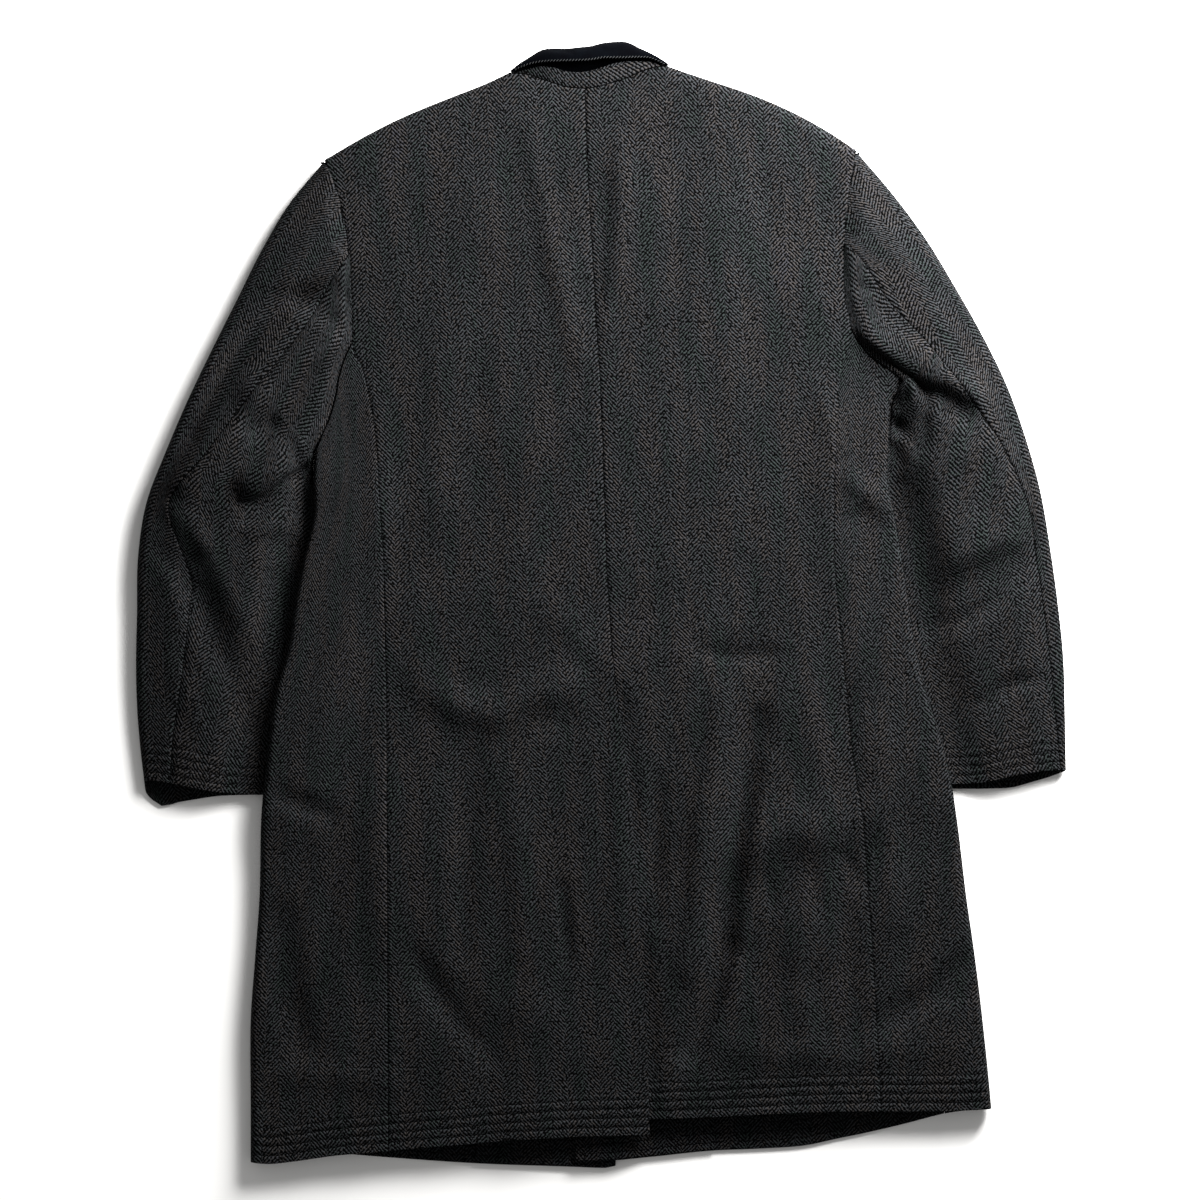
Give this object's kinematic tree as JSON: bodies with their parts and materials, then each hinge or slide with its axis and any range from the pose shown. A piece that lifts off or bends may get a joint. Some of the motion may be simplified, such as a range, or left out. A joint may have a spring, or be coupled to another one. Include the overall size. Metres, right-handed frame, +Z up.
{
  "type": "overcoat",
  "caption": "Herringbone wool overcoat with a dark velvet collar, laid flat face down, back vent lapped, sleeves at its sides.",
  "frame": {"origin": "middle of the coat's outline seen from above, on the surface it lies on", "axes": "+Y from hem to collar, +X to the right seen from above (the wearer's right side), +Z up out of the back"},
  "size_m": [0.892, 1.0786, 0.0376],
  "materials": {
    "wool": "matt brushed herringbone wool",
    "velvet": "short-pile cotton velvet"
  },
  "bodies": {
    "root": {"back_left": "wool", "back_right": "wool", "side_left": "wool", "side_right": "wool", "front_left": "wool", "front_right": "wool", "facing_left": "wool", "facing_right": "wool", "top_sleeve_left": "wool", "under_sleeve_left": "wool", "top_sleeve_right": "wool", "under_sleeve_right": "wool", "collar_stand": "wool", "collar_fall": "velvet"}
  },
  "joints": []
}
